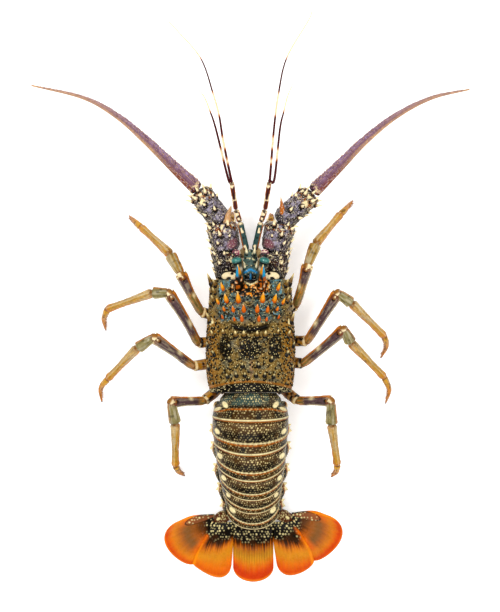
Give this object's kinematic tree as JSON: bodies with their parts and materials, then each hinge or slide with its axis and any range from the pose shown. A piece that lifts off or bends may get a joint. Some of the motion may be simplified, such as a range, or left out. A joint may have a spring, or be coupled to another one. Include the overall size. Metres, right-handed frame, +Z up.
{
  "type": "spiny lobster model",
  "caption": "Still, life-size spiny lobster standing on its legs and tail fan, long thick antennae swept forward and out, spiny carapace and spread fan.",
  "frame": {"origin": "on the floor, at the centre of the bounding box seen from above", "axes": "+Z up, +Y towards the tail, the head points to -Y, +X is the animal's left side"},
  "size_m": [0.3282, 0.4282, 0.0738],
  "materials": {
    "shell": "satin chitin shell, olive brown mottled with black, cream and orange",
    "eye": "glossy dark teal eye",
    "antenna_stem": "satin grey-violet shell with cream and black blotches",
    "flagellum": "ringed mauve and red-brown whip",
    "antennule": "thin whip banded in maroon and cream",
    "leg": "satin grey-violet leg with orange stripes and cream joints",
    "belly": "pale cream underside plate",
    "abdomen": "dark green-brown rings finely dotted with cream",
    "tail_fan": "dark olive base running to golden and orange ribbed edges"
  },
  "bodies": {
    "root": {"abdomen_1": "abdomen", "abdomen_2": "abdomen", "abdomen_3": "abdomen", "abdomen_4": "abdomen", "abdomen_5": "abdomen", "abdomen_6": "abdomen", "antenna_left_base": "antenna_stem", "antenna_left_end": "antenna_stem", "antenna_left_middle": "antenna_stem", "antenna_right_base": "antenna_stem", "antenna_right_end": "antenna_stem", "antenna_right_middle": "antenna_stem", "antennular_plate": "antenna_stem", "antennule_left_long": "antennule", "antennule_left_short": "antennule", "antennule_left_stem": "antennule", "antennule_right_long": "antennule", "antennule_right_short": "antennule", "antennule_right_stem": "antennule", "carapace": "shell", "eye_left": "eye", "eye_right": "eye", "flagellum_left_inner": "flagellum", "flagellum_left_outer": "flagellum", "flagellum_right_inner": "flagellum", "flagellum_right_outer": "flagellum", "leg_1_left_lower": "leg", "leg_1_left_upper": "leg", "leg_1_right_lower": "leg", "leg_1_right_upper": "leg", "leg_2_left_lower": "leg", "leg_2_left_upper": "leg", "leg_2_right_lower": "leg", "leg_2_right_upper": "leg", "leg_3_left_lower": "leg", "leg_3_left_upper": "leg", "leg_3_right_lower": "leg", "leg_3_right_upper": "leg", "leg_4_left_lower": "leg", "leg_4_left_upper": "leg", "leg_4_right_lower": "leg", "leg_4_right_upper": "leg", "leg_5_left_lower": "leg", "leg_5_left_upper": "leg", "leg_5_right_lower": "leg", "leg_5_right_upper": "leg", "maxilliped_left": "leg", "maxilliped_right": "leg", "sternum": "belly", "telson": "tail_fan", "uropod_left_inner": "tail_fan", "uropod_left_outer": "tail_fan", "uropod_right_inner": "tail_fan", "uropod_right_outer": "tail_fan"}
  },
  "joints": []
}
